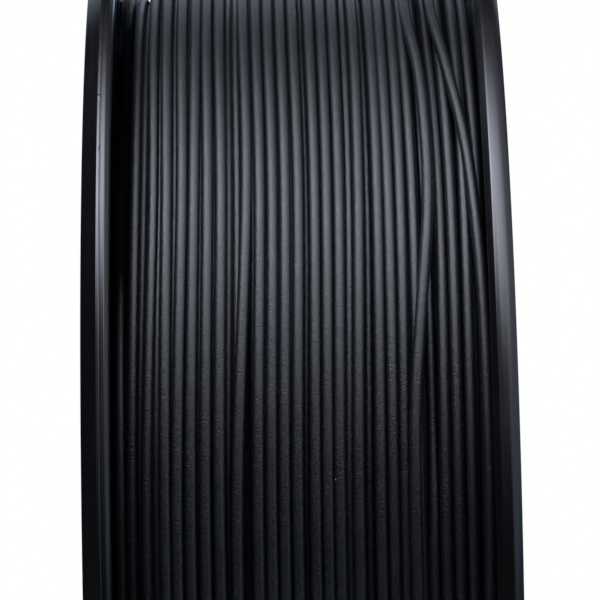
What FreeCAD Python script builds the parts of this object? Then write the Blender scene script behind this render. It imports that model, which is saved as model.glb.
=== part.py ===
import FreeCAD, Part
import math
import os
from FreeCAD import Vector

# A spool of 1.75 mm filament. The spool's axis is X, up is +Z and the front is -Y.
# The origin is the centre of the bore, midway between the flanges.
# Lengths are in millimetres and angles in degrees.
# A turn angle is measured on the spool from the front, over the top.

# Flanges
flange_radius = 100.0
traverse_width = 54.4
web_thickness = 2.3
stand_out = 1.2
rim_depth = 3.0
bore_radius = 26.0
bore_chamfer = 0.8
bore_ring_width = 5.0
hub_ring_width = 7.0
hub_overlap = 4.0
corner_radius = 0.5
edge_radius = 0.25

# Rims: the left one has the wider bevel, and a moulding seam on its flat
left_rim_lip = 0.95
left_lip_bevel = 0.35
left_bevel_width = 2.35
left_bevel_drop = 1.4
right_rim_lip = 0.4
right_lip_bevel = 0.6
right_bevel_width = 1.6
right_bevel_drop = 0.8
seam_width = 0.5
seam_depth = 0.12
seam_inset = 0.08

# Barrel
barrel_radius = 50.0
barrel_wall = 2.4
arbor_wall = 2.4
rib_count = 6
rib_thickness = 2.0
rib_setback = 4.0

# Locating rings and snap hooks on the flanges' inner faces
ring_height = 3.0
ring_thickness = 1.8
locating_clearance = 0.1
hook_length = 9.5
hook_catch = 6.0
hook_barb = 1.0
hook_width = 16.0
slot_clearance = 0.15

# Holes in the flanges
drive_hole_count = 3
drive_hole_radius = 5.0
filament_hole_radius = 1.3
end_hole_count = 6
end_hole_turn = -112.0
end_hole_margin = 0.3
start_hole_turn = 120.0
sight_slot_count = 3
sight_slot_width = 6.5
sight_slot_margin = 5.0
sight_slot_turn = 90.0
tick_pitch = 4.0
tick_length = 3.5
long_tick_length = 6.0
long_tick_every = 2
tick_thickness = 0.6
tick_height = 0.3

# Labels
label_thickness = 0.15
label_margin = 5.0
left_label_span = 90.0
right_label_span = 52.0

# Filament
filament_diameter = 1.75
filament_facets = 10
winding_margin = 4.0
winding_clearance = 0.3
layer_clearance = 0.2
layer_side_gap = 0.9
turn_gap = 0.65
crossing_gap = 0.65
crossing_reach = 6.0
start_turn = 50.0
pocket_depth = 6.5
pocket_clearance = 0.35
dive_radius = 4.0
exit_radius = 5.0

# Derived places
web_inner = traverse_width / 2
web_outer = web_inner + web_thickness
half_width = web_outer + stand_out
rim_root = flange_radius - rim_depth
hub_radius = barrel_radius + hub_overlap
arbor_radius = bore_radius + arbor_wall
barrel_bore = barrel_radius - barrel_wall
ring_outer = barrel_bore - locating_clearance
collar_inner = arbor_radius + locating_clearance
filament_radius = filament_diameter / 2
layer_radius = rim_root - winding_margin - filament_radius
bulk_radius = layer_radius - filament_radius - layer_clearance
crossing_radius = layer_radius + filament_diameter + crossing_gap
layer_end = web_inner - layer_side_gap - filament_radius
layer_turns = math.floor(2 * layer_end / (filament_diameter + turn_gap)) - 0.5
turn_pitch = 2 * layer_end / layer_turns
end_hole_place = rim_root - filament_hole_radius - end_hole_margin
start_hole_place = barrel_radius + winding_clearance + filament_hole_radius
drive_hole_place = (arbor_radius + barrel_bore) / 2

ORIGIN = Vector(0, 0, 0)
AXIS = Vector(-1, 0, 0)
MIDPLANE = Vector(1, 0, 0)
SIDE_SHARE = 0.45


def on_spool(turn, x, radius):
    """The point at a turn angle, a distance along the axis and a distance from it."""
    angle = math.radians(turn)
    return Vector(x, -radius * math.cos(angle), radius * math.sin(angle))


def turned(shape, turn):
    """A copy of a shape, turned round the spool's axis."""
    copy = shape.copy()
    copy.rotate(ORIGIN, AXIS, turn)
    return copy


def solid_of(shape):
    """A shape as one solid with its faces outwards."""
    solid = shape if shape.ShapeType == "Solid" else Part.Solid(shape)
    if solid.Volume < 0:
        solid.reverse()
    return solid


def profile_face(corners):
    """A flat face from corners (distance along the axis, distance from it, corner radius).

    A corner's rounding takes no more than a share of the shorter side beside it.
    """
    points = [Vector(x, -r, 0) for x, r, _ in corners]
    count = len(points)
    starts, ends, arcs = [], [], []
    for i in range(count):
        before = points[i - 1] - points[i]
        after = points[(i + 1) % count] - points[i]
        longest = SIDE_SHARE * min(before.Length, after.Length)
        before.normalize()
        after.normalize()
        radius = corners[i][2]
        if radius == 0:
            starts.append(points[i])
            ends.append(points[i])
            arcs.append(None)
            continue
        half = before.getAngle(after) / 2
        reach = min(radius / math.tan(half), longest)
        radius = reach * math.tan(half)
        middle = (before + after).normalize() * (radius / math.sin(half) - radius)
        starts.append(points[i] + before * reach)
        ends.append(points[i] + after * reach)
        arcs.append(points[i] + middle)
    edges = []
    for i in range(count):
        if arcs[i]:
            edges.append(Part.Arc(starts[i], arcs[i], ends[i]).toShape())
        edges.append(Part.LineSegment(ends[i], starts[(i + 1) % count]).toShape())
    return Part.Face(Part.Wire(edges))


def spun(corners, centre=0.0, span=360.0):
    """A profile turned round the axis, centred on a turn angle."""
    face = profile_face(corners)
    if span == 360.0:
        return solid_of(face.revolve(ORIGIN, AXIS, 360))
    face.rotate(ORIGIN, AXIS, centre - span / 2)
    return solid_of(face.revolve(ORIGIN, AXIS, span))


def box_corners(x0, x1, r0, r1):
    """The corners of a plain rectangular profile."""
    return [(x0, r0, 0), (x1, r0, 0), (x1, r1, 0), (x0, r1, 0)]


def axial_hole(turn, place, radius, x0, x1):
    """A round cutter along the axis direction."""
    return Part.makeCylinder(radius, x1 - x0, on_spool(turn, x0, place), MIDPLANE)


def radial_slot(turn, width, r0, r1, x0, x1):
    """A round-ended cutter that runs outwards from r0 to r1."""
    half = width / 2
    block = Part.makeBox(x1 - x0, r1 - r0 - width, width, Vector(x0, -r1 + half, -half))
    near = Part.makeCylinder(half, x1 - x0, Vector(x0, -r0 - half, 0), MIDPLANE)
    far = Part.makeCylinder(half, x1 - x0, Vector(x0, -r1 + half, 0), MIDPLANE)
    return turned(block.fuse([near, far]).removeSplitter(), turn)


def every(count, first):
    """Turn angles of a pattern that divides the full circle."""
    return [first + 360.0 * i / count for i in range(count)]


# Flange disc: bore ring, recess, hub ring, web and rim in one moulding.
# It is drawn for the right-hand side, and the left-hand one is mirrored.
def flange_disc(lip, lip_bevel, bevel_width, bevel_drop, has_seam):
    bore_ring = bore_radius + bore_ring_width
    hub_recess = hub_radius - hub_ring_width
    lip_place = web_inner - lip
    bevel_start = half_width - bevel_width
    corners = [
        (web_inner, bore_radius, 0),
        (half_width - bore_chamfer, bore_radius, 0),
        (half_width, bore_radius + bore_chamfer, edge_radius),
        (half_width, bore_ring, corner_radius),
        (web_outer, bore_ring, corner_radius),
        (web_outer, hub_recess, corner_radius),
        (half_width, hub_recess, corner_radius),
        (half_width, hub_radius, corner_radius),
        (web_outer, hub_radius, corner_radius),
        (web_outer, rim_root, corner_radius),
        (half_width, rim_root, corner_radius),
        (half_width, flange_radius - bevel_drop, edge_radius),
        (bevel_start, flange_radius, edge_radius / 2),
    ]
    if has_seam:
        seam_end = bevel_start - seam_inset - edge_radius
        corners += [
            (seam_end, flange_radius, 0),
            (seam_end - seam_width / 2, flange_radius - seam_depth, 0),
            (seam_end - seam_width, flange_radius, 0),
        ]
    corners += [
        (lip_place + lip_bevel, flange_radius, edge_radius / 2),
        (lip_place, flange_radius - lip_bevel, edge_radius / 2),
        (lip_place, rim_root + lip, edge_radius),
        (web_inner, rim_root, corner_radius),
    ]
    return spun(corners)


# Inner side of a flange: a collar round the arbor tube, a spigot inside the barrel, and
# the hooks that reach in between the barrel's ribs and catch in its slots.
def flange_fittings():
    collar_outer = collar_inner + ring_thickness
    spigot_inner = ring_outer - ring_thickness
    ring_end = web_inner - ring_height
    pieces = [
        spun(box_corners(ring_end, web_inner, collar_inner, collar_outer)),
        spun(box_corners(ring_end, web_inner, spigot_inner, ring_outer)),
    ]
    catch = web_inner - hook_catch
    tip = web_inner - hook_length
    hook = [
        (web_inner, spigot_inner, 0),
        (web_inner, ring_outer, 0),
        (catch, ring_outer, 0),
        (catch, ring_outer + hook_barb, 0),
        (tip, ring_outer, 0),
        (tip, spigot_inner, 0),
    ]
    span = math.degrees(hook_width / ring_outer)
    for turn in every(rib_count, 180.0 / rib_count):
        pieces.append(spun(hook, turn, span))
    return pieces


# Outer face: a row of scale ticks beside each sight slot
def scale_ticks():
    ticks = []
    inner = hub_radius + sight_slot_margin
    outer = rim_root - sight_slot_margin
    count = int((outer - inner) / tick_pitch) + 1
    for turn in every(sight_slot_count, sight_slot_turn):
        for i in range(count):
            place = inner + i * tick_pitch
            length = tick_length if i % long_tick_every else long_tick_length
            start = sight_slot_width / 2 + sight_slot_margin / 2
            corner = Vector(web_outer, -place - tick_thickness / 2, start)
            tick = Part.makeBox(tick_height, tick_thickness, length, corner)
            ticks.append(turned(tick, turn))
    return ticks


def flange_cutters(side):
    low, high = web_inner - ring_height, half_width + stand_out
    slot_inner = hub_radius + sight_slot_margin
    slot_outer = rim_root - sight_slot_margin
    drive_first = 180.0 / rib_count
    cutters = []
    for turn in every(drive_hole_count, drive_first):
        cutters.append(axial_hole(turn, drive_hole_place, drive_hole_radius, low, high))
    for turn in every(sight_slot_count, sight_slot_turn):
        cutters.append(radial_slot(turn, sight_slot_width, slot_inner, slot_outer, low, high))
    for turn in every(end_hole_count, end_hole_turn):
        cutters.append(axial_hole(turn, end_hole_place, filament_hole_radius, low, high))
    if side < 0:
        cutters.append(axial_hole(start_hole_turn, start_hole_place, filament_hole_radius, low, high))
    return cutters


def flange(side, lip, lip_bevel, bevel_width, bevel_drop, has_seam):
    disc = flange_disc(lip, lip_bevel, bevel_width, bevel_drop, has_seam)
    body = disc.fuse(flange_fittings() + scale_ticks())
    body = body.cut(flange_cutters(side)).removeSplitter()
    if side < 0:
        body = body.mirror(ORIGIN, MIDPLANE)
    return solid_of(body.Solids[0])


def barrel():
    wall = spun(box_corners(-web_inner, web_inner, barrel_bore, barrel_radius))
    tube = spun(box_corners(-web_inner, web_inner, bore_radius, arbor_radius))
    rib_inner = arbor_radius - arbor_wall / 2
    rib_outer = barrel_bore + barrel_wall / 2
    rib_length = traverse_width - 2 * rib_setback
    corner = Vector(-rib_length / 2, -rib_outer, -rib_thickness / 2)
    rib = Part.makeBox(rib_length, rib_outer - rib_inner, rib_thickness, corner)
    ribs = [turned(rib, turn) for turn in every(rib_count, 0.0)]
    body = wall.fuse([tube] + ribs)
    near = web_inner - hook_catch + slot_clearance
    far = web_inner - hook_length
    span = math.degrees((hook_width + 4 * slot_clearance) / ring_outer)
    slot = box_corners(far, near, barrel_bore - 1, barrel_radius + 1)
    mirrored = [(-x, r, c) for x, r, c in slot]
    slots = []
    for turn in every(rib_count, 180.0 / rib_count):
        slots.append(spun(slot, turn, span))
        slots.append(spun(mirrored, turn, span))
    return solid_of(body.cut(slots).removeSplitter().Solids[0])


def label(side, span, centre):
    inner = hub_radius + label_margin
    outer = rim_root - label_margin
    low = web_outer
    high = web_outer + label_thickness
    return spun([(side * x, r, c) for x, r, c in box_corners(low, high, inner, outer)], centre, span)


# Filament
# The bulk of the winding is a plain ring, with a pocket where the outer layer rises out of it.
def filament_bulk():
    half = web_inner - winding_clearance
    ring = spun(box_corners(-half, half, barrel_radius + winding_clearance, bulk_radius))
    width = filament_diameter + 2 * pocket_clearance
    floor = layer_radius - pocket_depth
    x = -layer_end
    back = width / 2
    reach = dive_radius + back
    low = Vector(x - width / 2, -layer_radius - 1, -back)
    pocket = Part.makeBox(width, layer_radius + 1 - floor, reach + back, low)
    return solid_of(ring.cut(turned(pocket, start_turn)).Solids[0])


# The outer layer runs from left to right, down the front.
# Its last turn climbs onto the layer, crosses it and comes back to the right rim.
def turn_places():
    """(turn angle, place along the axis, radius) at every half turn, then every quarter turn."""
    places = []
    steps = int(round(layer_turns * 2))
    for i in range(steps + 1):
        places.append((start_turn - 180.0 * i, -layer_end + turn_pitch * i / 2, layer_radius))
    last_turn = places[-1][0]
    crossing = [layer_end, layer_end - crossing_reach, layer_end - 1.4 * crossing_reach]
    for i, place in enumerate(crossing):
        places.append((last_turn - 90.0 * (i + 1), place, crossing_radius))
    whole_turns = math.ceil(layer_turns + 0.5)
    exit_turn = end_hole_turn + math.degrees(math.asin(exit_radius / end_hole_place))
    exit_place = web_inner - winding_clearance - filament_radius - exit_radius
    bend_radius = math.sqrt(end_hole_place ** 2 - exit_radius ** 2)
    places.append((exit_turn - 360.0 * whole_turns, exit_place, bend_radius))
    return places


def path_tangents(places):
    """Unit tangents at the places: level, and leaning along the axis as the places beside them do."""
    tangents = []
    for i, (turn, x, radius) in enumerate(places):
        lean = 0.0
        if 0 < i < len(places) - 1:
            before, after = places[i - 1], places[i + 1]
            lean = (after[1] - before[1]) / math.radians(before[0] - after[0])
        angle = math.radians(turn)
        tangent = Vector(lean, -radius * math.sin(angle), -radius * math.cos(angle))
        tangents.append(tangent.normalize())
    return tangents


def arc_between(start, start_direction, end):
    """The arc from start to end that leaves start along a direction."""
    chord = end - start
    cosine = start_direction.dot(chord) / chord.Length
    half = math.acos(min(1.0, cosine))
    aside = start_direction * chord.Length - chord * cosine
    if aside.Length < 1e-9:
        return Part.LineSegment(start, end).toShape()
    rise = math.tan(half / 2) * chord.Length / 2
    across = (start_direction - chord * (cosine / chord.Length)).normalize()
    return Part.Arc(start, (start + end) / 2 + across * rise, end).toShape()


def biarc(start, start_direction, end, end_direction):
    """Two tangent arcs that join two points in the directions given."""
    gap = end - start
    both = start_direction + end_direction
    a = 4 - both.dot(both)
    b = 2 * gap.dot(both)
    c = -gap.dot(gap)
    reach = (-b + math.sqrt(b * b - 4 * a * c)) / (2 * a)
    near = start + start_direction * reach
    far = end - end_direction * reach
    join = (near + far) / 2
    join_direction = (far - near).normalize()
    return [arc_between(start, start_direction, join), arc_between(join, join_direction, end)]


def outer_path():
    """The centre line of the outer turns, from the pocket to the hole in the rim."""
    places = turn_places()
    tangents = path_tangents(places)
    points = [on_spool(*place) for place in places]
    outward = on_spool(start_turn, 0, 1)
    centre = points[0] - outward * dive_radius
    diagonal = (outward - tangents[0]).normalize()
    dive_start = centre - tangents[0] * dive_radius
    edges = [
        Part.LineSegment(dive_start - outward * (pocket_depth - dive_radius), dive_start).toShape(),
        Part.Arc(dive_start, centre + diagonal * dive_radius, points[0]).toShape(),
    ]
    for i in range(len(points) - 1):
        edges += biarc(points[i], tangents[i], points[i + 1], tangents[i + 1])
    corner = points[-1] + tangents[-1] * exit_radius
    exit_centre = points[-1] + MIDPLANE * exit_radius
    bend_middle = exit_centre + (tangents[-1] - MIDPLANE).normalize() * exit_radius
    bend_end = corner + MIDPLANE * exit_radius
    tip = Vector(half_width, bend_end.y, bend_end.z)
    edges.append(Part.Arc(points[-1], bend_middle, bend_end).toShape())
    edges.append(Part.LineSegment(bend_end, tip).toShape())
    return Part.Wire(edges)


def faceted_section(path, radius, facets):
    """A regular polygon square to the start of a path, with its corners on the tube's radius."""
    first = path.OrderedEdges[0]
    start = first.valueAt(first.FirstParameter)
    circle = Part.Circle(start, first.tangentAt(first.FirstParameter), radius)
    corners = [circle.value(2 * math.pi * i / facets) for i in range(facets)]
    return Part.makePolygon(corners + corners[:1])


def tube(path, section):
    """A tube with a section swept along a path of lines and arcs."""
    shell = Part.BRepOffsetAPI.MakePipeShell(path)
    shell.add(section)
    shell.build()
    shell.makeSolid()
    return solid_of(shell.shape())


def least_gap(path, diameter):
    """The least clear distance of a wound tube to its own other turns."""
    step = diameter / 2
    count = int(path.Length / step)
    points = path.discretize(count)
    cell = 2 * diameter
    grid = {}
    for i, p in enumerate(points):
        key = (int(p.x // cell), int(p.y // cell), int(p.z // cell))
        grid.setdefault(key, []).append(i)
    apart = int(8 * diameter / step)
    least = 2 * cell
    for (x, y, z), members in grid.items():
        near = []
        for dx in (-1, 0, 1):
            for dy in (-1, 0, 1):
                for dz in (-1, 0, 1):
                    near += grid.get((x + dx, y + dy, z + dz), [])
        for i in members:
            for j in near:
                if j - i > apart:
                    least = min(least, points[i].distanceToPoint(points[j]))
    return least - diameter


def filament_outer_turns():
    path = outer_path()
    section = faceted_section(path, filament_radius, filament_facets)
    body = tube(path, section)
    swept = Part.Face(section).Area * path.Length
    print("outer turns: length %.0f mm" % path.Length)
    print("outer turns: volume over section times length %.4f" % (body.Volume / swept))
    print("outer turns: least gap to itself %.2f mm" % least_gap(path, filament_diameter))
    return body


def filament_start():
    x = web_inner - winding_clearance
    length = half_width - x
    return Part.makeCylinder(
        filament_radius, length, on_spool(start_hole_turn, -half_width, start_hole_place), MIDPLANE
    )


os.makedirs("parts", exist_ok=True)
nodes = {
    "left_flange": flange(
        -1, left_rim_lip, left_lip_bevel, left_bevel_width, left_bevel_drop, True
    ),
    "right_flange": flange(
        1, right_rim_lip, right_lip_bevel, right_bevel_width, right_bevel_drop, False
    ),
    "barrel": barrel(),
    "left_label": label(-1, left_label_span, sight_slot_turn + 60.0),
    "right_label": label(1, right_label_span, sight_slot_turn + 180.0),
    "filament_bulk": filament_bulk(),
    "filament_outer_turns": filament_outer_turns(),
    "filament_start": filament_start(),
}
for name, shape in nodes.items():
    shape.exportStep("parts/%s.step" % name)
    print("%-22s valid %s volume %.1f" % (name, shape.isValid(), shape.Volume))
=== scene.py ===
import math
import random

import bmesh
import bpy
from mathutils import Matrix, Vector


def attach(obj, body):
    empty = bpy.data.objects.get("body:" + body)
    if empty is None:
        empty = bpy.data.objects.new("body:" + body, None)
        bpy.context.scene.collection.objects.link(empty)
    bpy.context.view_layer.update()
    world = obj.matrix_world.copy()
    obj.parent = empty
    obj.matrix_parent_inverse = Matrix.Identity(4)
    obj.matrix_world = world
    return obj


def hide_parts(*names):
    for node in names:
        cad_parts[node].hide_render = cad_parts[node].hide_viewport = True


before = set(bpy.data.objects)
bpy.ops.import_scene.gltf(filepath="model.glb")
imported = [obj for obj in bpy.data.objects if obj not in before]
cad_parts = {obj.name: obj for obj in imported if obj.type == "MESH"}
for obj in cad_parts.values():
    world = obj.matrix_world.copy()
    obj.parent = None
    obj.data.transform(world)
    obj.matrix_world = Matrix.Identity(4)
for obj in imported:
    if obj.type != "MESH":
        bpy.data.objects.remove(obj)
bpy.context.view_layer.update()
body = "root"


# Barrel
# One injection moulding in black plastic: the drum that the filament is wound on, the arbor tube
# of the bore inside it and six ribs between the two. Slots near the drum's ends take the hooks
# of the flanges.

# Lengths are written in millimetres times MM. The spool's axis is X, up is +Z, the front is -Y.
# A turn angle goes round the spool in degrees, from the front and over the top.
MM = 0.001
turning_axis = Vector((-1, 0, 0))
web_inner = 27.2 * MM
bore_radius = 26 * MM
arbor_radius = 28.4 * MM
drum_bore = 47.6 * MM
drum_radius = 50 * MM
rib_count = 6
rib_thickness = 2 * MM
rib_setback = 4 * MM
edge_softening = 0.3 * MM
slot_span = 20.2
slot_near = 21.35 * MM
slot_far = 17.7 * MM
overlap = 1 * MM
drum_steps = 240
sector_steps = 10
edge_steps = 2
crease_angle = 32
merge_distance = 1e-7
barrel_ior = 1.55
barrel_black = (0.008, 0.008, 0.009)
barrel_grey = (0.012, 0.012, 0.013)
barrel_roughness = (0.26, 0.38)
cloud_range = (0.3, 0.7)
barrel_grain_height = 0.01 * MM


def on_spool(turn, x, radius):
    """The point at a turn angle, a distance along the axis and a distance from it."""
    angle = math.radians(turn)
    return Vector((x, -radius * math.cos(angle), radius * math.sin(angle)))


def every(count, first):
    """Turn angles of a pattern that divides the full circle."""
    return [first + 360 * i / count for i in range(count)]


def rounded_outline(corners, arc_steps):
    """Points of a closed outline in the x, r plane, from corners (x, r, rounding)."""
    most_of_a_side = 0.45
    points = []
    flat = [Vector((x, r)) for x, r, _ in corners]
    for i, (_, _, rounding) in enumerate(corners):
        if rounding == 0:
            points.append(flat[i])
            continue
        before = flat[i - 1] - flat[i]
        after = flat[(i + 1) % len(flat)] - flat[i]
        half = before.angle(after) / 2
        reach = min(rounding / math.tan(half), most_of_a_side * min(before.length, after.length))
        start = flat[i] + before.normalized() * reach
        end = flat[i] + after.normalized() * reach
        for step in range(arc_steps + 1):
            t = step / arc_steps
            points.append(start * (1 - t) ** 2 + flat[i] * (2 * t * (1 - t)) + end * t ** 2)
    return points


def tube_outline(inner, outer, end):
    """The section of a plain tube with softened edges."""
    return rounded_outline([
        (-end, inner, edge_softening), (end, inner, edge_softening),
        (end, outer, edge_softening), (-end, outer, edge_softening)], edge_steps)


def box_outline(x0, x1, r0, r1):
    """A plain rectangular outline."""
    return [Vector((x0, r0)), Vector((x1, r0)), Vector((x1, r1)), Vector((x0, r1))]


def spun(bm, outline, centre=0.0, span=360.0, steps=drum_steps):
    """Adds an outline turned round the axis, as a ring or as a closed sector."""
    first = centre - span / 2
    verts = [bm.verts.new(on_spool(first, p.x, p.y)) for p in outline]
    geom = verts + [bm.edges.new((verts[i - 1], verts[i])) for i in range(len(verts))]
    whole = span == 360.0
    if not whole:
        geom.append(bm.faces.new(verts))
    bmesh.ops.spin(
        bm, geom=geom, cent=(0, 0, 0), axis=turning_axis, angle=math.radians(span), steps=steps,
        use_merge=whole, use_duplicate=False)


def turned(bm, verts, turn):
    """Turns vertices round the spool's axis by a turn angle."""
    matrix = Matrix.Rotation(math.radians(turn), 3, turning_axis)
    bmesh.ops.rotate(bm, verts=verts, cent=(0, 0, 0), matrix=matrix)


def bar(bm, turn, size, centre):
    """Adds a square bar, sized and placed at the front, then turned to its turn angle."""
    made = bmesh.ops.create_cube(bm, size=1)["verts"]
    bmesh.ops.scale(bm, verts=made, vec=size)
    bmesh.ops.translate(bm, verts=made, vec=centre)
    turned(bm, made, turn)


def as_object(bm, name):
    """A new object from a bmesh, with its faces pointing outwards."""
    bmesh.ops.remove_doubles(bm, verts=bm.verts, dist=merge_distance)
    bmesh.ops.recalc_face_normals(bm, faces=bm.faces)
    mesh = bpy.data.meshes.new(name)
    bm.to_mesh(mesh)
    bm.free()
    obj = bpy.data.objects.new(name, mesh)
    bpy.context.scene.collection.objects.link(obj)
    return obj


def combine(obj, other, operation):
    """Joins another solid to an object, or cuts it away, and removes that solid."""
    modifier = obj.modifiers.new("cut", "BOOLEAN")
    modifier.object = other
    modifier.operation = operation
    modifier.solver = "EXACT"
    depsgraph = bpy.context.evaluated_depsgraph_get()
    mesh = bpy.data.meshes.new_from_object(obj.evaluated_get(depsgraph))
    obj.modifiers.clear()
    obj.data = mesh
    bpy.data.objects.remove(other)


def shade_moulding(obj):
    """Smooth shading with crisp cut edges, and flat faces that stay flat."""
    mesh = obj.data
    mesh.polygons.foreach_set("use_smooth", [True] * len(mesh.polygons))
    mesh.set_sharp_from_angle(angle=math.radians(crease_angle))
    weighted = obj.modifiers.new("flat faces", "WEIGHTED_NORMAL")
    weighted.keep_sharp = True
    weighted.weight = 100


bm = bmesh.new()
spun(bm, tube_outline(drum_bore, drum_radius, web_inner))
spun(bm, tube_outline(bore_radius, arbor_radius, web_inner))
barrel = as_object(bm, "barrel_moulding")

bm = bmesh.new()
rib_end = web_inner - rib_setback
rib_foot = arbor_radius - overlap
rib_head = drum_bore + overlap
for turn in every(rib_count, 0):
    bar(bm, turn, (2 * rib_end, rib_head - rib_foot, rib_thickness), (0, -(rib_foot + rib_head) / 2, 0))
combine(barrel, as_object(bm, "ribs"), "UNION")

bm = bmesh.new()
for turn in every(rib_count, 180 / rib_count):
    for x0, x1 in ((slot_far, slot_near), (-slot_near, -slot_far)):
        outline = box_outline(x0, x1, drum_bore - overlap, drum_radius + overlap)
        spun(bm, outline, turn, slot_span, sector_steps)
combine(barrel, as_object(bm, "slots"), "DIFFERENCE")
shade_moulding(barrel)
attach(barrel, body)
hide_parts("barrel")


def new_material(name):
    """An empty node material with its shader, and the coordinates that patterns read."""
    material = bpy.data.materials.new(name)
    material.use_nodes = True
    tree = material.node_tree
    shader = tree.nodes["Principled BSDF"]
    place = tree.nodes.new("ShaderNodeTexCoord").outputs["Object"]
    return material, tree, shader, place


def noise(tree, vector, scale, detail, roughness=0.5):
    """A noise texture's value on some coordinates."""
    node = tree.nodes.new("ShaderNodeTexNoise")
    node.inputs["Scale"].default_value = scale
    node.inputs["Detail"].default_value = detail
    node.inputs["Roughness"].default_value = roughness
    tree.links.new(vector, node.inputs["Vector"])
    return node.outputs["Fac"]


def between(tree, value, given, wanted, smooth=False):
    """A value rescaled from a given range to the wanted one, and held at its ends."""
    node = tree.nodes.new("ShaderNodeMapRange")
    node.interpolation_type = "SMOOTHSTEP" if smooth else "LINEAR"
    node.inputs["From Min"].default_value = given[0]
    node.inputs["From Max"].default_value = given[1]
    node.inputs["To Min"].default_value = wanted[0]
    node.inputs["To Max"].default_value = wanted[1]
    tree.links.new(value, node.inputs["Value"])
    return node.outputs["Result"]


def mixed_colour(tree, factor, first, second):
    """Two colours or colour sockets mixed by a factor socket."""
    node = tree.nodes.new("ShaderNodeMix")
    node.data_type = "RGBA"
    tree.links.new(factor, node.inputs["Factor"])
    for name, colour in (("A", first), ("B", second)):
        socket = [s for s in node.inputs if s.name == name and s.type == "RGBA"][0]
        if isinstance(colour, tuple):
            socket.default_value = (*colour, 1)
        else:
            tree.links.new(colour, socket)
    return [s for s in node.outputs if s.type == "RGBA"][0]


def bumped(tree, shader, heights):
    """Bumps on a shader, from (height socket, distance), coarse ones first."""
    normal = None
    for height, distance in heights:
        node = tree.nodes.new("ShaderNodeBump")
        node.inputs["Distance"].default_value = distance
        tree.links.new(height, node.inputs["Height"])
        if normal is not None:
            tree.links.new(normal, node.inputs["Normal"])
        normal = node.outputs["Normal"]
    tree.links.new(normal, shader.inputs["Normal"])


def dress(pieces, material):
    """Gives pieces one material, in place of any that they have."""
    for piece in pieces:
        piece.data.materials.clear()
        piece.data.materials.append(material)


barrel_plastic, tree, shader, place = new_material("barrel plastic")
shader.inputs["IOR"].default_value = barrel_ior
cloud = noise(tree, place, scale=60, detail=4)
tree.links.new(mixed_colour(tree, cloud, barrel_black, barrel_grey), shader.inputs["Base Color"])
tree.links.new(between(tree, cloud, cloud_range, barrel_roughness), shader.inputs["Roughness"])
bumped(tree, shader, [(noise(tree, place, scale=1400, detail=2), barrel_grain_height)])
dress([barrel], barrel_plastic)


# Flanges
# Two glossy black mouldings, each a bore ring, a recessed hub, a thin web and a thick rim. A
# spigot fits into the drum, a collar goes round the arbor tube and six hooks snap into the
# drum's slots. The left rim has the wider bevel and a fine moulding seam.
flange_radius = 100 * MM
half_width = 30.7 * MM
web_outer = 29.5 * MM
rim_root = 97 * MM
bore_chamfer = 0.8 * MM
bore_ring = 31 * MM
hub_recess = 47 * MM
hub_radius = 54 * MM
collar_inner = 28.5 * MM
collar_outer = 30.3 * MM
spigot_inner = 45.7 * MM
spigot_outer = 47.5 * MM
ring_end = 24.2 * MM
soft = 0.5 * MM
crisp = 0.2 * MM
keen = 0.1 * MM
flange_steps = 360
corner_steps = 4
hook_span = 19.3
hook_catch = 21.2 * MM
hook_tip = 17.7 * MM
hook_barb = 1 * MM
cutter_reach = 33 * MM
drive_hole_count = 3
drive_hole_turn = 30
drive_hole_place = 38 * MM
drive_hole_radius = 5 * MM
drive_hole_sides = 64
end_hole_count = 6
end_hole_turn = -112
end_hole_place = 95.4 * MM
start_hole_turn = 120
start_hole_place = 51.6 * MM
filament_hole_radius = 1.3 * MM
filament_hole_sides = 32
sight_slot_count = 3
sight_slot_turn = 90
sight_slot_width = 6.5 * MM
sight_slot_inner = 59 * MM
sight_slot_outer = 92 * MM
sight_slot_steps = 12
tick_pitch = 4 * MM
tick_lengths = (6 * MM, 3.5 * MM)
tick_thickness = 0.6 * MM
tick_height = 0.3 * MM
tick_start = 5.75 * MM
ridge_place = 28.2 * MM
ridge_edge = (0.1 * MM, 0.3 * MM)
flange_ior = 1.6
flange_black = (0.003, 0.003, 0.0034)
flange_film = (0.005, 0.0048, 0.0052)
flange_dust = (0.3, 0.3, 0.3)
film_range = (0.35, 0.7)
film_roughness = (0.14, 0.24)
streak_range = (0.4, 0.75)
streak_roughness = (0.0, 0.07)
nick_range = (0.62, 0.72)
dust_roughness = 0.4
film_height = 0.06 * MM
streak_height = 0.0035 * MM
nick_height = 0.06 * MM
flange_grain_height = 0.0025 * MM

# The edge of each rim, from its outer face over the top and down its inner side, as corners:
# place along the axis, radius and rounding. The left one goes over a bevel, the seam and its
# ridge, a narrow flat and an inner chamfer; the right one over a crown and a wide inner slope.
left_rim = [
    (half_width, 97.75 * MM, 0.16 * MM), (28.45 * MM, 99.93 * MM, 0.12 * MM),
    (28.1 * MM, flange_radius, 0.1 * MM), (27.94 * MM, 99.89 * MM, 0.07 * MM),
    (27.8 * MM, 99.98 * MM, 0.1 * MM), (27.35 * MM, flange_radius, 0.1 * MM),
    (27.2 * MM, 99.93 * MM, 0.1 * MM), (26.7 * MM, 99.45 * MM, 0.15 * MM),
    (26.5 * MM, 98.9 * MM, 0.1 * MM), (26.5 * MM, rim_root + 0.9 * MM, 0.25 * MM)]
right_rim = [
    (half_width, 98.7 * MM, 0.08 * MM), (30.2 * MM, 99.27 * MM, 2 * MM),
    (29.7 * MM, 99.67 * MM, 2 * MM), (29.2 * MM, 99.9 * MM, 2 * MM),
    (28.6 * MM, flange_radius, 3 * MM), (28.05 * MM, 99.97 * MM, 0.5 * MM),
    (27.85 * MM, 99.88 * MM, 0.15 * MM), (27.05 * MM, 99.2 * MM, 0.1 * MM),
    (27.05 * MM, rim_root + 0.15 * MM, 0.1 * MM)]


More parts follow.
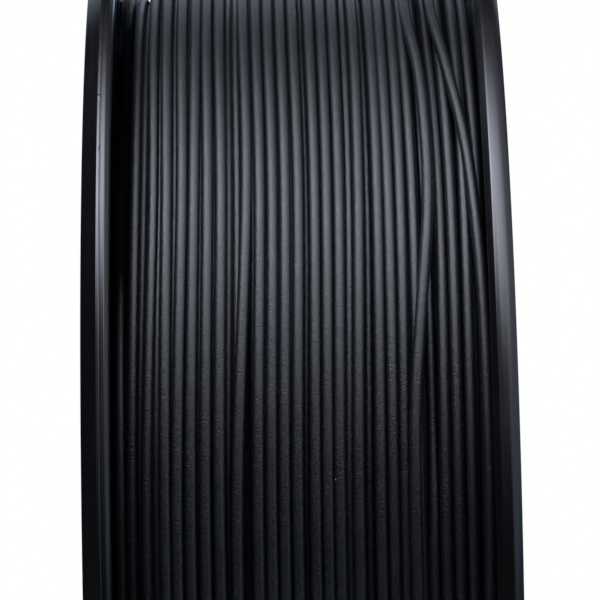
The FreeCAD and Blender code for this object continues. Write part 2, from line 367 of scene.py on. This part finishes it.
def flange_outline(rim):
    """The section of a flange, drawn for the right-hand side."""
    outside = [
        (web_inner, bore_radius, keen), (half_width - bore_chamfer, bore_radius, keen),
        (half_width, bore_radius + bore_chamfer, crisp), (half_width, bore_ring, soft),
        (web_outer, bore_ring, soft), (web_outer, hub_recess, soft),
        (half_width, hub_recess, soft), (half_width, hub_radius, soft),
        (web_outer, hub_radius, soft), (web_outer, rim_root, soft), (half_width, rim_root, soft)]
    inside = [
        (web_inner, rim_root, soft), (web_inner, spigot_outer, 0),
        (ring_end, spigot_outer, crisp), (ring_end, spigot_inner, crisp),
        (web_inner, spigot_inner, 0), (web_inner, collar_outer, 0),
        (ring_end, collar_outer, crisp), (ring_end, collar_inner, crisp),
        (web_inner, collar_inner, 0)]
    return rounded_outline(outside + rim + inside, corner_steps)


def axial_pin(bm, turn, place, radius, x0, x1, sides):
    """Adds a round pin that lies along the axis."""
    made = bmesh.ops.create_cone(
        bm, cap_ends=True, segments=sides, radius1=radius, radius2=radius, depth=x1 - x0)["verts"]
    along_x = Matrix.Rotation(math.radians(90), 3, "Y")
    bmesh.ops.rotate(bm, verts=made, cent=(0, 0, 0), matrix=along_x)
    bmesh.ops.translate(bm, verts=made, vec=on_spool(turn, (x0 + x1) / 2, place))


def raised_face(bm, verts, depth):
    """Closes vertices into a face and draws it out along the axis. Returns the new vertices."""
    grown = bmesh.ops.extrude_face_region(bm, geom=[bm.faces.new(verts)])["geom"]
    top = [g for g in grown if isinstance(g, bmesh.types.BMVert)]
    bmesh.ops.translate(bm, verts=top, vec=(depth, 0, 0))
    return top


def sight_slot(bm, turn):
    """Adds a round-ended cutter that runs outwards along a radius."""
    half = sight_slot_width / 2
    outline = []
    for centre, start in ((sight_slot_outer - half, -90), (sight_slot_inner + half, 90)):
        for i in range(sight_slot_steps + 1):
            angle = math.radians(start + 180 * i / sight_slot_steps)
            outline.append((centre + half * math.cos(angle), half * math.sin(angle)))
    verts = [bm.verts.new((web_inner - overlap, -r, z)) for r, z in outline]
    turned(bm, verts + raised_face(bm, verts, cutter_reach - web_inner), turn)


def hooks_and_ticks():
    """The hooks that go into the barrel and the scale ticks beside the sight slots."""
    bm = bmesh.new()
    hook = rounded_outline([
        (web_inner + overlap, spigot_inner, 0), (web_inner + overlap, spigot_outer, 0),
        (hook_catch, spigot_outer, 0), (hook_catch, spigot_outer + hook_barb, 0),
        (hook_tip, spigot_outer, crisp), (hook_tip, spigot_inner, crisp)], edge_steps)
    for turn in every(rib_count, 180 / rib_count):
        spun(bm, hook, turn, hook_span, sector_steps)
    tick_count = int((sight_slot_outer - sight_slot_inner) / tick_pitch) + 1
    for turn in every(sight_slot_count, sight_slot_turn):
        for i in range(tick_count):
            place = sight_slot_inner + i * tick_pitch
            length = tick_lengths[i % 2]
            bar(bm, turn, (2 * tick_height, tick_thickness, length),
                (web_outer, -place, tick_start + length / 2))
    return as_object(bm, "raised")


def filament_hole(bm, turn, place):
    """Adds the cutter of a hole that the filament goes through."""
    axial_pin(bm, turn, place, filament_hole_radius, ring_end, cutter_reach, filament_hole_sides)


def holes(with_start_hole):
    """Cutters for the drive holes, the rim's end holes, the sight slots and the start hole."""
    bm = bmesh.new()
    for turn in every(drive_hole_count, drive_hole_turn):
        axial_pin(
            bm, turn, drive_hole_place, drive_hole_radius, hook_tip, cutter_reach, drive_hole_sides)
    for turn in every(end_hole_count, end_hole_turn):
        filament_hole(bm, turn, end_hole_place)
    for turn in every(sight_slot_count, sight_slot_turn):
        sight_slot(bm, turn)
    if with_start_hole:
        filament_hole(bm, start_hole_turn, start_hole_place)
    return as_object(bm, "holes")


def flange(name, node, side, rim):
    """One flange, drawn on the right and mirrored for the left."""
    bm = bmesh.new()
    spun(bm, flange_outline(rim), steps=flange_steps)
    obj = as_object(bm, name)
    combine(obj, hooks_and_ticks(), "UNION")
    combine(obj, holes(side < 0), "DIFFERENCE")
    if side < 0:
        bm = bmesh.new()
        bm.from_mesh(obj.data)
        bmesh.ops.scale(bm, verts=bm.verts, vec=(-1, 1, 1))
        bmesh.ops.recalc_face_normals(bm, faces=bm.faces)
        bm.to_mesh(obj.data)
        bm.free()
    shade_moulding(obj)
    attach(obj, body)
    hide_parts(node)
    return obj


left_flange = flange("left_flange_moulding", "left_flange", -1, left_rim)
right_flange = flange("right_flange_moulding", "right_flange", 1, right_rim)


def math_node(tree, operation, a, b=None, clamp=False):
    """A math node on two sockets or numbers."""
    node = tree.nodes.new("ShaderNodeMath")
    node.operation = operation
    node.use_clamp = clamp
    for i, value in enumerate((a, b)):
        if isinstance(value, (int, float)):
            node.inputs[i].default_value = value
        elif value is not None:
            tree.links.new(value, node.inputs[i])
    return node.outputs[0]


def parts_of(tree, vector):
    """The three parts of a vector socket."""
    split = tree.nodes.new("ShaderNodeSeparateXYZ")
    tree.links.new(vector, split.inputs[0])
    return split.outputs


def from_axis(tree, y, z):
    """The distance from the spool's axis."""
    return math_node(tree, "SQRT", math_node(
        tree, "ADD", math_node(tree, "MULTIPLY", y, y), math_node(tree, "MULTIPLY", z, z)))


def round_the_axis(tree, place, along, across, round_it):
    """Coordinates that follow the spool: along the axis, away from it and round it, all scaled."""
    x, y, z = parts_of(tree, place)
    angle = math_node(tree, "ARCTAN2", z, y)
    join = tree.nodes.new("ShaderNodeCombineXYZ")
    tree.links.new(math_node(tree, "MULTIPLY", x, along), join.inputs[0])
    tree.links.new(math_node(tree, "MULTIPLY", from_axis(tree, y, z), across), join.inputs[1])
    tree.links.new(math_node(tree, "MULTIPLY", angle, round_it), join.inputs[2])
    return join.outputs[0]


def specks(tree, place, scale, share, size):
    """Small round dust specks with soft edges, one in a share of the cells, as a mask."""
    solid_part = 0.6
    cells = tree.nodes.new("ShaderNodeTexVoronoi")
    cells.inputs["Scale"].default_value = scale
    tree.links.new(place, cells.inputs["Vector"])
    near = between(tree, cells.outputs["Distance"], (size * solid_part, size), (1, 0))
    split = tree.nodes.new("ShaderNodeSeparateColor")
    tree.links.new(cells.outputs["Color"], split.inputs[0])
    chosen = math_node(tree, "LESS_THAN", split.outputs[0], share)
    return math_node(tree, "MULTIPLY", near, chosen)


# Turning streaks and a thin film of handling marks dull the gloss, and the left rim's ridge has
# fine nicks.
flange_plastic, tree, shader, place = new_material("flange plastic")
shader.inputs["IOR"].default_value = flange_ior
lathe = round_the_axis(tree, place, along=2500, across=2500, round_it=0.6)
streaks = noise(tree, lathe, scale=1, detail=2)
film = noise(tree, place, scale=45, detail=5, roughness=0.6)
dust = specks(tree, place, scale=130, share=0.25, size=0.018)
plastic = mixed_colour(tree, film, flange_black, flange_film)
tree.links.new(mixed_colour(tree, dust, plastic, flange_dust), shader.inputs["Base Color"])
smear = math_node(tree, "ADD", between(tree, film, film_range, film_roughness),
                  between(tree, streaks, streak_range, streak_roughness))
dusted = math_node(tree, "ADD", smear, math_node(tree, "MULTIPLY", dust, dust_roughness))
tree.links.new(dusted, shader.inputs["Roughness"])
nick_place = round_the_axis(tree, place, along=700, across=700, round_it=30)
nicks = between(tree, noise(tree, nick_place, scale=1, detail=3), nick_range, (0, 1))
from_middle = math_node(tree, "ABSOLUTE", parts_of(tree, place)[0])
from_ridge = math_node(tree, "ABSOLUTE", math_node(tree, "ADD", from_middle, -ridge_place))
on_ridge = between(tree, from_ridge, ridge_edge, (1, 0))
bumped(tree, shader, [
    (film, film_height), (streaks, streak_height),
    (math_node(tree, "MULTIPLY", nicks, on_ridge), nick_height),
    (noise(tree, place, scale=2600, detail=1), flange_grain_height)])
dress([left_flange, right_flange], flange_plastic)


# Labels
# A blank paper label stuck on each flange's web, punched as a sector of a ring with round
# corners. The left one is the larger.
label_thickness = 0.15 * MM
label_inner = 59 * MM
label_outer = 92 * MM
label_corner = 2 * MM
label_corner_steps = 6
label_arc_steps = 48
left_label_centre = 150
left_label_span = 90
right_label_centre = 270
right_label_span = 52
paper = (0.79, 0.78, 0.75)
paper_stain = (0.74, 0.72, 0.67)
paper_fibre = (0.6, 0.58, 0.54)
paper_roughness = 0.75
stain_range = (0.4, 0.8)
fibre_range = (0.35, 0.6)
fibre_share = (0.25, 0)
fibre_height = 0.04 * MM


def paper_label(name, node, side, centre, span):
    """One label, with a side of -1 for the left and 1 for the right."""
    half = math.radians(span / 2)
    outline = []
    for edge, inward in ((label_outer, -1), (label_inner, 1)):
        middle = edge + inward * label_corner
        slack = label_corner / middle
        first = inward * (half - slack)
        last = -first
        for i in range(label_corner_steps):
            t = math.radians(90 * (1 - i / label_corner_steps))
            outline.append((
                middle - inward * label_corner * math.cos(t), first + inward * slack * math.sin(t)))
        for i in range(label_arc_steps + 1):
            outline.append((edge, first + (last - first) * i / label_arc_steps))
        for i in range(1, label_corner_steps + 1):
            t = math.radians(90 * i / label_corner_steps)
            outline.append((
                middle - inward * label_corner * math.cos(t), last - inward * slack * math.sin(t)))
    bm = bmesh.new()
    verts = [
        bm.verts.new(on_spool(centre + math.degrees(a), side * web_outer, r)) for r, a in outline]
    raised_face(bm, verts, side * label_thickness)
    bmesh.ops.triangulate(bm, faces=[f for f in bm.faces if len(f.verts) > 4])
    obj = as_object(bm, name)
    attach(obj, body)
    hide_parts(node)
    return obj


left_label = paper_label(
    "left_paper_label", "left_label", -1, left_label_centre, left_label_span)
right_label = paper_label(
    "right_paper_label", "right_label", 1, right_label_centre, right_label_span)

label_paper, tree, shader, place = new_material("label paper")
shader.inputs["Roughness"].default_value = paper_roughness
fibres = noise(tree, place, scale=900, detail=6, roughness=0.7)
stain = noise(tree, place, scale=40, detail=3)
tone = mixed_colour(tree, between(tree, stain, stain_range, (0, 1)), paper, paper_stain)
grain = between(tree, fibres, fibre_range, fibre_share)
tree.links.new(mixed_colour(tree, grain, tone, paper_fibre), shader.inputs["Base Color"])
bumped(tree, shader, [(fibres, fibre_height)])
dress([left_label, right_label], label_paper)


# Start of the filament
# The very first end of the round 1.75 mm plastic, pushed through the small hole beside the
# barrel before winding, which is all that holds it.
filament_radius = 0.875 * MM
layer_radius = 92.1 * MM
start_inner_end = 26.9 * MM
start_sides = 24
start_softening = 0.12 * MM
filament_ior = 1.52
filament_black = (0.0012, 0.0017, 0.0026)
filament_fleck = (0.006, 0.0074, 0.0095)
filament_dust = (0.35, 0.35, 0.36)
fleck_range = (0.35, 0.7)
filament_roughness = (0.34, 0.42)
patch_range = (0.3, 0.7)
patch_roughness = (-0.03, 0.04)
gloss_range = (0.3, 0.7)
filament_gloss = (0.38, 0.62)
# Depths below the outer layer's radius over which the painted shade fades the filament's gloss out.
full_shade_depth = 6 * MM
no_shade_depth = 0.5 * MM
patch_height = 0.04 * MM
fleck_height = 0.07 * MM

bm = bmesh.new()
axial_pin(
    bm, start_hole_turn, start_hole_place, filament_radius, -half_width, -start_inner_end,
    start_sides)
ends = [e for e in bm.edges if any(len(f.verts) > 4 for f in e.link_faces)]
bmesh.ops.bevel(
    bm, geom=ends, offset=start_softening, segments=2, profile=0.5, affect="EDGES", material=-1)
filament_start = as_object(bm, "filament_first_end")
shade_moulding(filament_start)
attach(filament_start, body)
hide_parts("filament_start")

# Matte, with fine flecks that are also tiny bumps. On turns that lie deep under the outer layer's
# radius the gloss is turned down as painted shade, for the little light that reaches them.
filament_plastic, tree, shader, place = new_material("filament plastic")
shader.inputs["IOR"].default_value = filament_ior
flecks = noise(tree, place, scale=4200, detail=1)
patches = noise(tree, place, scale=160, detail=4, roughness=0.6)
dust = specks(tree, place, scale=210, share=0.12, size=0.03)
fleck_share = between(tree, flecks, fleck_range, (0, 1))
plastic = mixed_colour(tree, fleck_share, filament_black, filament_fleck)
tree.links.new(mixed_colour(tree, dust, plastic, filament_dust), shader.inputs["Base Color"])
rough = math_node(tree, "ADD", between(tree, flecks, fleck_range, filament_roughness),
                  between(tree, patches, patch_range, patch_roughness))
dusted = math_node(tree, "ADD", rough, math_node(tree, "MULTIPLY", dust, dust_roughness))
tree.links.new(dusted, shader.inputs["Roughness"])
_, y, z = parts_of(tree, place)
# Painted shade: the gloss falls to nothing on turns sunk deep below the outer layer's radius.
open_to_light = between(
    tree, from_axis(tree, y, z), (layer_radius - full_shade_depth, layer_radius - no_shade_depth), (0, 1))
gloss = between(tree, flecks, gloss_range, filament_gloss)
tree.links.new(
    math_node(tree, "MULTIPLY", open_to_light, gloss), shader.inputs["Specular IOR Level"])
bumped(tree, shader, [(patches, patch_height), (flecks, fleck_height)])
dress([filament_start], filament_plastic)


# Lower layers of the filament
# Hundreds of turns of the same filament. Only their ends show, row over row, through the sight
# slots, so they are one ring whose sides are ridged by alternate layers. At the left the upper
# ones stop short of the flange, and the ring slopes down there.
layer_rise = 1.52 * MM
first_layer = 51.2 * MM
core_layers = 26
sunk_layers = 12
slope_start = -19.5 * MM
side_clearance = 0.35 * MM
end_layer_place = web_inner - side_clearance - filament_radius
offset_layer = 0.85 * MM
ridge_steps = 4
ridge_reach = 62
core_steps = 120


def ridged_side(side, layers):
    """Outline points up one side of the winding, a bulge for each layer."""
    points = []
    for i in range(layers):
        x = end_layer_place - (i % 2) * offset_layer
        r = first_layer + i * layer_rise
        for step in range(ridge_steps + 1):
            angle = math.radians(-ridge_reach + 2 * ridge_reach * step / ridge_steps)
            points.append(Vector((
                side * (x + filament_radius * math.cos(angle)),
                r + filament_radius * math.sin(angle))))
    return points


bm = bmesh.new()
right_side = ridged_side(1, core_layers)
left_side = ridged_side(-1, core_layers - sunk_layers)
slope_top = Vector((slope_start, right_side[-1].y))
spun(bm, right_side + [slope_top] + left_side[::-1], steps=core_steps)
core = as_object(bm, "filament_lower_layers")
core.data.polygons.foreach_set("use_smooth", [True] * len(core.data.polygons))
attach(core, body)
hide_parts("filament_bulk")
dress([core], filament_plastic)


# Outer layer of the filament
# The turns lie side by side from the left flange to the right one, with gaps where the ones
# below show. The last two turns lie on top of the others, and the end is bent into a hole in
# the right rim.
top_knot = 74
middle_knot = 49
bottom_knot = 14
back_knots = (1 / 3, 2 / 3)
back_wander_mm = 0.12
exit_bend = 5 * MM
exit_clearance = 0.3 * MM
bend_steps = 8
outer_resolution = 4
outer_step = 2.5
wander_seed = 7

# The knots are the turn angles at which a turn's place is given. Each row is one turn, in mm:
# its place along the axis at the top, middle and bottom knot, then how deep it is sunk below
# the layer's radius at the top one and at the bottom one.
turn_rows = [
    (-23.25, -23.3, -23.9, 2.9, 2.6), (-20.95, -20.65, -21.85, 1.0, 1.3),
    (-19.0, -18.7, -19.25, 0.2, 0), (-16.7, -16.45, -17.55, 0, 0), (-14.65, -14.75, -15.65, 0, 0),
    (-13.0, -12.75, -13.55, 0, 0), (-11.15, -10.8, -11.55, 0, 0), (-7.5, -7.15, -9.1, 0, 0),
    (-5.6, -5.2, -6.1, 0, 0), (-3.8, -3.4, -4.2, 0, 0), (-1.9, -1.55, -2.35, 0, 0),
    (-0.05, 0.35, -0.5, 0, 0), (2.4, 2.7, 2.0, 0, 0), (4.25, 4.45, 3.75, 0, 0),
    (6.0, 6.2, 5.45, 0, 0), (9.05, 9.05, 8.1, 0, 0), (11.55, 11.75, 11.2, 0, 0),
    (13.05, 13.35, 13.05, 0, 0), (14.8, 15.05, 14.75, 0, 0), (16.4, 16.85, 16.75, 0, 0),
    (20.1, 20.65, 20.3, 0.9, 0), (21.8, 22.35, 22.2, 0, 0), (24.15, 24.3, 24.1, 0, 0),
    (25.9, 26.2, 26.1, 0.4, 0.4)]

# The turns that leave the rows, as turn angle, place along the axis and height over the layer's
# radius in mm: the first turn, which dips beside the left flange, the climb onto the layer
# behind the spool, and the two turns on top of it, which cross the ones below.
first_turn = [
    (200, -24.9, -4), (125, -25.7, -1.8), (108, -25.7, -1.6), (98, -25.6, -2.4), (86, -25.4, -8),
    (70, -25.4, -12), (52, -25.35, -9), (36, -25.4, -5), (26, -25.45, -3.6), (14, -25.5, -3.3)]
climb = [(-50, 24.2, 0.6), (-130, 21.5, 1.6), (-220, 18.0, 1.6)]
upper_turn = [
    (76, 17.05, 1.6), (64, 18.5, 1.6), (54, 19.05, 1.6), (49, 19.05, 1.6), (44, 18.7, 1.6),
    (34, 17.25, 1.6), (26, 16.3, 1.6), (14, 16.1, 1.6), (-90, 17.5, 1.6), (-200, 19.6, 1.6)]
top_turn = [
    (76, 20.9, 1.6), (66, 22.4, 1.6), (54, 24.75, 1.6), (44, 25.85, 1.6), (36, 26.35, 1.3),
    (24, 26.5, 1.3), (14, 26.4, 1.3), (-20, 25.4, 1.3), (-70, 22.6, 1.3)]


def through(knots, at):
    """A smooth curve's values at an angle, through knots (angle, values...) in falling order."""
    i = 0
    while i < len(knots) - 2 and at < knots[i + 1][0]:
        i += 1
    (a0, *p0), (a1, *p1) = knots[i], knots[i + 1]
    before = knots[max(i - 1, 0)]
    after = knots[min(i + 2, len(knots) - 1)]
    span = a1 - a0
    t = (at - a0) / span
    from_first = 2 * t ** 3 - 3 * t ** 2 + 1
    from_slope0 = t ** 3 - 2 * t ** 2 + t
    from_second = 3 * t ** 2 - 2 * t ** 3
    from_slope1 = t ** 3 - t ** 2
    values = []
    for n in range(len(p0)):
        slope0 = (p1[n] - before[n + 1]) / (a1 - before[0])
        slope1 = (after[n + 1] - p0[n]) / (after[0] - a0)
        values.append(from_first * p0[n] + from_slope0 * slope0 * span
                      + from_second * p1[n] + from_slope1 * slope1 * span)
    return values


def laid(lap, places):
    """Knots (angle, x, radius) of a lap round the spool, from (turn angle, x, height) in mm."""
    return [(turn - 360 * lap, x * MM, layer_radius + height * MM) for turn, x, height in places]


def laid_in_rows(rows):
    """Knots of turns laid in rows, each joined to the next behind the spool."""
    knots = []
    back_span = 360 - (top_knot - bottom_knot)
    for lap, (top, middle, bottom, top_sunk, sunk) in enumerate(rows):
        knots += laid(lap, [
            (top_knot, top, -top_sunk), (middle_knot, middle, -(top_sunk + sunk) / 2),
            (bottom_knot, bottom, -sunk)])
        if lap + 1 < len(rows):
            after, next_sunk = rows[lap + 1][0], rows[lap + 1][3]
            for share in back_knots:
                wander = random.uniform(-back_wander_mm, back_wander_mm)
                knots += laid(lap, [(
                    bottom_knot - back_span * share, bottom + (after - bottom) * share + wander,
                    -(sunk + (next_sunk - sunk) * share))])
    return knots


def sampled(knots, step):
    """Points along the winding, from its first knot to its last."""
    first, last = knots[0][0], knots[-1][0]
    count = int(round((first - last) / step))
    points = []
    for i in range(count + 1):
        at = first - (first - last) * i / count
        x, radius = through(knots, at)
        points.append(on_spool(at, x, radius))
    return points


def filament_tube(name, points, resolution):
    """A tube along points, with a section of four sides and two more for each resolution."""
    curve = bpy.data.curves.new(name, "CURVE")
    curve.dimensions = "3D"
    curve.bevel_depth = filament_radius
    curve.bevel_resolution = resolution
    curve.use_fill_caps = True
    spline = curve.splines.new("POLY")
    spline.points.add(len(points) - 1)
    for i, p in enumerate(points):
        spline.points[i].co = (*p, 1)
    spline.use_smooth = True
    line = bpy.data.objects.new(name + "_line", curve)
    bpy.context.scene.collection.objects.link(line)
    depsgraph = bpy.context.evaluated_depsgraph_get()
    mesh = bpy.data.meshes.new_from_object(line.evaluated_get(depsgraph))
    bpy.data.objects.remove(line)
    mesh.name = name
    obj = bpy.data.objects.new(name, mesh)
    bpy.context.scene.collection.objects.link(obj)
    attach(obj, body)
    return obj


last_lap = len(turn_rows) - 1
bend_start = end_hole_turn + math.degrees(exit_bend / end_hole_place)
exit_place = web_inner - exit_clearance - filament_radius - exit_bend
random.seed(wander_seed)
knots = laid(-1, first_turn) + laid_in_rows(turn_rows) + laid(last_lap, climb)
knots += laid(last_lap + 1, upper_turn) + laid(last_lap + 2, top_turn)
knots.append((bend_start - 360 * (last_lap + 2), exit_place, end_hole_place))
points = sampled(knots, outer_step)
bend_from = points[-1]
travel = (points[-1] - points[-2]).normalized()
for i in range(1, bend_steps + 1):
    t = math.radians(90 * i / bend_steps)
    aside = Vector((exit_bend * (1 - math.cos(t)), 0, 0))
    points.append(bend_from + travel * (exit_bend * math.sin(t)) + aside)
points.append(Vector((half_width, points[-1].y, points[-1].z)))
outer_turns = filament_tube("filament_outer_layer", points, outer_resolution)
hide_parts("filament_outer_turns")
dress([outer_turns], filament_plastic)


# Second layer of the filament
# The layer beneath the outer one, which shows in its gaps. Its turns nestle between the outer
# ones, and a wide gap holds two of them.
second_step = 3
second_resolution = 2
tail_turn = 60
tail_depth_mm = 5

# Rows as for the outer layer. The first two turns lie high over the back and dip deep in front,
# beside the left flange, and the one on the crossing lap rises low in front.
second_rows = [
    (-26.2, -26.2, -26.2, 16, 14), (-24.3, -24.3, -24.3, 15, 11),
    (-21.95, -22.0, -22.8, 3.3, 3.6), (-19.7, -19.7, -20.3, 1.8, 1.7),
    (-17.6, -17.5, -18.2, 1.4, 1.5), (-15.6, -15.6, -16.4, 1.75, 1.75),
    (-13.8, -13.8, -14.4, 1.8, 1.8), (-12.0, -11.9, -12.3, 2.3, 2.3),
    (-9.9, -9.75, -10.3, 2.2, 2.2), (-8.55, -8.4, -8.95, 1.7, 1.7),
    (-6.6, -6.2, -6.4, 1.75, 1.75), (-4.85, -4.4, -5.2, 1.75, 1.75),
    (-3.0, -2.6, -3.4, 1.75, 1.75), (-1.15, -0.7, -1.6, 1.75, 1.75),
    (1.2, 1.5, 0.7, 2.0, 2.3), (3.2, 3.6, 2.9, 1.75, 1.75), (5.0, 5.3, 4.6, 1.75, 1.75),
    (7.6, 7.65, 6.8, 1.1, 1.1), (10.2, 10.3, 9.6, 1.75, 1.75), (12.3, 12.5, 12.1, 1.75, 1.75),
    (13.85, 14.2, 13.85, 1.75, 1.75), (15.5, 15.9, 15.7, 1.8, 2.1), (18.2, 18.5, 18.45, 1.9, 0.4),
    (20.9, 21.5, 21.2, 1.75, 1.75), (22.95, 23.3, 23.2, 3.6, 3.6), (25.0, 25.3, 25.1, 2.8, 3)]
first_dip = [
    (330, -26.2, -2.6), (180, -26.2, -2.6), (108, -26.3, -2.8), (98, -26.3, -3), (86, -26.25, -11)]
second_dip = [(108, -24.4, -2.8), (98, -24.4, -3), (86, -24.35, -10)]
crossing_lap = 22
crossing = [(27, 18.75, -1.9), (19, 18.7, -1.0)]

knots = laid_in_rows(second_rows)
knots += laid(0, first_dip) + laid(1, second_dip) + laid(crossing_lap, crossing)
knots += laid(len(second_rows) - 1, [(-tail_turn, second_rows[-1][2], -tail_depth_mm)])
knots.sort(reverse=True)
points = sampled(knots, second_step)
second_turns = filament_tube("filament_second_layer", points, second_resolution)
dress([second_turns], filament_plastic)


# Floor
# A plain pale floor under the spool. It keeps the spool's shadow, and turns to a white
# background further out.
floor_radius = 600 * MM
floor_sides = 96
floor_tone = (0.43, 0.42, 0.4)
floor_roughness = 0.8
shadow_reach = 170 * MM
white_from = 310 * MM
behind_spool = (100 * MM, 400 * MM)

bm = bmesh.new()
bmesh.ops.create_circle(bm, cap_ends=True, segments=floor_sides, radius=floor_radius)
bmesh.ops.translate(bm, verts=bm.verts, vec=(0, 0, -flange_radius))
floor = as_object(bm, "floor")

# The white shows to the camera, and behind the spool in its gloss too.
floor_paint, tree, shader, place = new_material("floor")
shader.inputs["Base Color"].default_value = (*floor_tone, 1)
shader.inputs["Roughness"].default_value = floor_roughness
white = tree.nodes.new("ShaderNodeEmission")
blend = tree.nodes.new("ShaderNodeMixShader")
rays = tree.nodes.new("ShaderNodeLightPath")
flat = tree.nodes.new("ShaderNodeMapping")
flat.inputs["Scale"].default_value = (1, 1, 0)
tree.links.new(place, flat.inputs["Vector"])
length = tree.nodes.new("ShaderNodeVectorMath")
length.operation = "LENGTH"
tree.links.new(flat.outputs["Vector"], length.inputs[0])
far = between(tree, length.outputs["Value"], (shadow_reach, white_from), (0, 1))
behind = between(tree, parts_of(tree, place)[1], behind_spool, (0, 1))
mirrored = math_node(
    tree, "ADD", rays.outputs["Is Glossy Ray"], rays.outputs["Is Transmission Ray"])
seen = math_node(
    tree, "ADD", rays.outputs["Is Camera Ray"], math_node(tree, "MULTIPLY", mirrored, behind),
    clamp=True)
tree.links.new(math_node(tree, "MULTIPLY", far, seen), blend.inputs[0])
tree.links.new(shader.outputs[0], blend.inputs[1])
tree.links.new(white.outputs[0], blend.inputs[2])
tree.links.new(blend.outputs[0], tree.nodes["Material Output"].inputs["Surface"])
dress([floor], floor_paint)


# Light
# A wide softbox overhead, brightest a little to the left, a pale wall on the right and the white
# backdrop behind. The rest of the room is dark.
softbox_radiance = 5.9
halo_radiance = 0.36
wall_radiance = 0.65
backdrop_radiance = 1.0
room_radiance = 0.01
high_tint = (0.82, 0.85, 1.0)
low_tint = (0.5, 0.75, 1.0)

# The edges are in degrees of rise, from the horizon behind the spool over the top to the one in
# front. The back edges are lower by the lean at each side. The softbox's front edge is further
# back by the front step, left and right of the middle, and by the bend times X squared.
softbox_back = (62, 104)
softbox_front = (101, 131)
halo_back = (44, 78)
halo_front = (106, 163)
lean_left = 16
lean_right = 7
front_step = (7, -4)
front_bend = 10
left_to_right = (1.7, 0.35)

world = bpy.data.worlds.new("studio")
world.use_nodes = True
bpy.context.scene.world = world
tree = world.node_tree
background = tree.nodes["Background"]
rays = tree.nodes.new("ShaderNodeLightPath")
direction = tree.nodes.new("ShaderNodeTexCoord").outputs["Generated"]
x, y, z = parts_of(tree, direction)
rise = math_node(tree, "MULTIPLY", math_node(tree, "ARCTAN2", z, y), 180 / math.pi)
leaning = math_node(tree, "ADD", rise, between(tree, x, (-0.7, 0), (lean_left, 0)))
leaning = math_node(tree, "ADD", leaning, between(tree, x, (0, 0.8), (0, lean_right)))
slanted = math_node(tree, "ADD", rise, between(tree, x, (-0.05, 0.05), front_step))
bend = math_node(tree, "MULTIPLY", math_node(tree, "MULTIPLY", x, x), front_bend)
slanted = math_node(tree, "ADD", slanted, bend)
softbox = math_node(
    tree, "MULTIPLY", between(tree, leaning, softbox_back, (0, softbox_radiance), smooth=True),
    between(tree, slanted, softbox_front, (1, 0), smooth=True))
halo = math_node(
    tree, "MULTIPLY", between(tree, leaning, halo_back, (0, halo_radiance)),
    between(tree, rise, halo_front, (1, 0)))
overhead = math_node(tree, "ADD", softbox, halo)

# What follows fades over ranges of the direction's X, Y and Z, which go from -1 to 1.
overhead = math_node(tree, "MULTIPLY", overhead, between(tree, x, (-0.55, 0.75), left_to_right))
overhead = math_node(tree, "MULTIPLY", overhead, between(tree, x, (-0.78, -0.5), (0, 1), smooth=True))
overhead = math_node(tree, "MULTIPLY", overhead, between(tree, x, (0.75, 0.95), (1, 0), smooth=True))
wall = between(tree, x, (0.1, 0.85), (0, wall_radiance), smooth=True)
wall = math_node(tree, "MULTIPLY", wall, between(tree, y, (-0.75, -0.45), (0, 1), smooth=True))
wall = math_node(tree, "MULTIPLY", wall, between(tree, y, (0.4, 0.75), (1, 0.2), smooth=True))
wall = math_node(tree, "MULTIPLY", wall, between(tree, z, (-0.1, 0.12), (0.2, 1), smooth=True))
backdrop = between(tree, y, (0.8, 0.97), (0, backdrop_radiance), smooth=True)
room = math_node(tree, "MAXIMUM", wall, backdrop)
room = math_node(tree, "MAXIMUM", room, room_radiance)
room = math_node(tree, "ADD", room, overhead)

# The camera sees plain white.
blend = tree.nodes.new("ShaderNodeMix")
blend.data_type = "FLOAT"
tree.links.new(rays.outputs["Is Camera Ray"], blend.inputs["Factor"])
tree.links.new(room, blend.inputs["A"])
blend.inputs["B"].default_value = 1
tree.links.new(blend.outputs["Result"], background.inputs["Strength"])
low_down = between(tree, z, (0.0, 0.45), (1, 0), smooth=True)
tint = mixed_colour(tree, low_down, high_tint, low_tint)
tint = mixed_colour(tree, rays.outputs["Is Camera Ray"], tint, (1, 1, 1))
tree.links.new(tint, background.inputs["Color"])


# Camera
# In front of the spool and a little above it, with a long lens, close in on the winding. It
# aims above the spool's middle and is slightly tilted, as the photograph is.
camera_elevation = math.radians(14)
camera_distance = 750 * MM
camera_aside = -0.47 * MM
look_up = math.radians(3.17)
look_aside = math.radians(0.07)
tilt = math.radians(1.09)
sensor_mm = 36
lens_mm = 280.8
nearest = 50 * MM
furthest = 20

away = Vector((0, math.cos(camera_elevation), -math.sin(camera_elevation)))
over = Vector((0, math.sin(camera_elevation), math.cos(camera_elevation)))
forward = away * math.cos(look_up) + over * math.sin(look_up)
forward = (forward * math.cos(look_aside) + Vector((1, 0, 0)) * math.sin(look_aside)).normalized()
level = forward.cross(over).normalized()
upright = level.cross(forward).normalized()
right = level * math.cos(tilt) - upright * math.sin(tilt)
up = level * math.sin(tilt) + upright * math.cos(tilt)
camera_data = bpy.data.cameras.new("camera")
camera_data.sensor_width = sensor_mm
camera_data.lens = lens_mm
camera_data.clip_start = nearest
camera_data.clip_end = furthest
camera = bpy.data.objects.new("camera", camera_data)
bpy.context.scene.collection.objects.link(camera)
facing = Matrix((right, up, -forward)).transposed()
camera.matrix_world = Matrix.Translation(
    -away * camera_distance + Vector((camera_aside, 0, 0))) @ facing.to_4x4()
bpy.context.scene.camera = camera
bpy.context.scene.view_settings.view_transform = "Standard"
